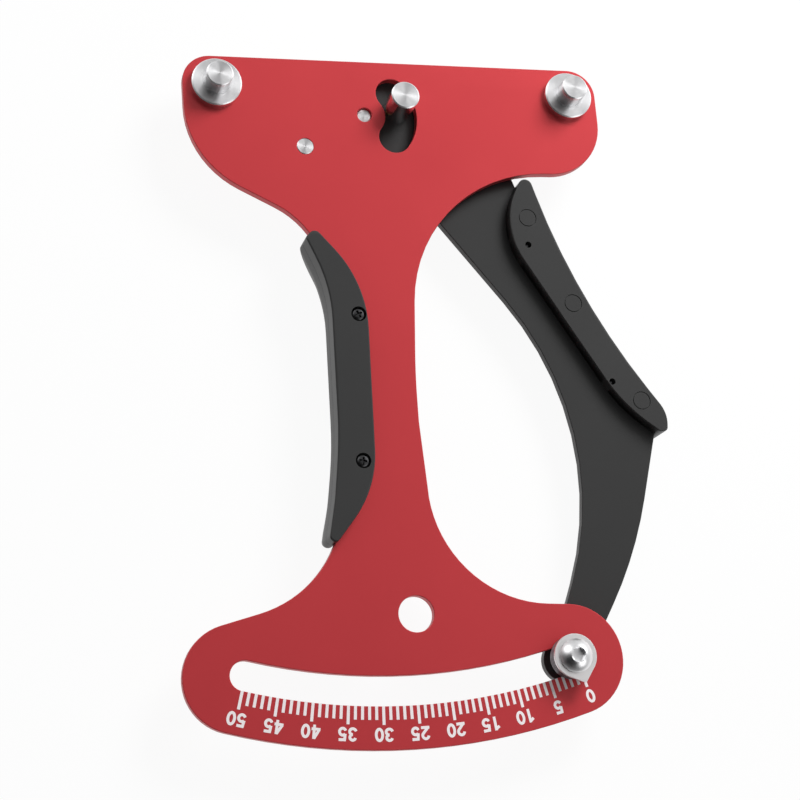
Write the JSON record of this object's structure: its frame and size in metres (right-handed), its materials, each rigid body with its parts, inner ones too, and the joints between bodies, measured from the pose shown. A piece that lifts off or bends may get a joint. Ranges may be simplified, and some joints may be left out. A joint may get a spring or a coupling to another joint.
{
  "type": "spoke tension meter",
  "caption": "Hand-held bicycle spoke tension meter with a red plate body, a sprung squeeze arm, spoke posts and a pointer on a curved scale.",
  "frame": {"origin": "under the middle of the outline, on the plane that the tool lies on", "axes": "+Z from the backs of the grips to the posts, +Y from the scale towards the posts, +X from the body grip towards the arm grip"},
  "size_m": [0.165, 0.2282, 0.0249],
  "materials": {
    "anodised": "satin red anodised",
    "turned_steel": "bright turned",
    "zinc_steel": "bright plated",
    "black_steel": "blackened satin",
    "black_plate": "black satin",
    "grip_plastic": "fine moulded texture",
    "spring_wire": "drawn wire",
    "bronze": "plain bearing bronze"
  },
  "bodies": {
    "body": {"body_plate": "anodised", "fixed_post_left": "turned_steel", "fixed_post_right": "turned_steel", "fixed_post_screws": "black_steel", "spring_anchor": "turned_steel", "pivot_screw": "turned_steel", "spring_collar": "zinc_steel", "torsion_spring": "spring_wire", "body_grip_front": "grip_plastic", "body_grip_back": "grip_plastic", "body_grip_screws": "black_steel"},
    "arm": {"arm_plate": "black_plate", "pivot_bush": "bronze", "moving_post": "turned_steel", "moving_post_screw": "black_steel", "arm_spring_pin": "turned_steel", "arm_grip_front": "grip_plastic", "arm_grip_back": "grip_plastic", "arm_grip_screws": "black_steel", "pointer": "zinc_steel", "pointer_screw": "zinc_steel", "pointer_washers": "zinc_steel", "slot_sleeve": "zinc_steel", "pointer_back_washer": "zinc_steel", "pointer_nut": "zinc_steel"}
  },
  "joints": [
    {"name": "arm_swing", "type": "hinge", "parent": "body", "child": "arm", "pos_m": [-0.01294, 0.0945, 0.00976], "axis": [0, 0, -1], "range_deg": [0, 31.5], "stiffness_Nm_per_rad": 1.2, "springref_deg": -20.05, "deforming": ["torsion_spring"]}
  ]
}
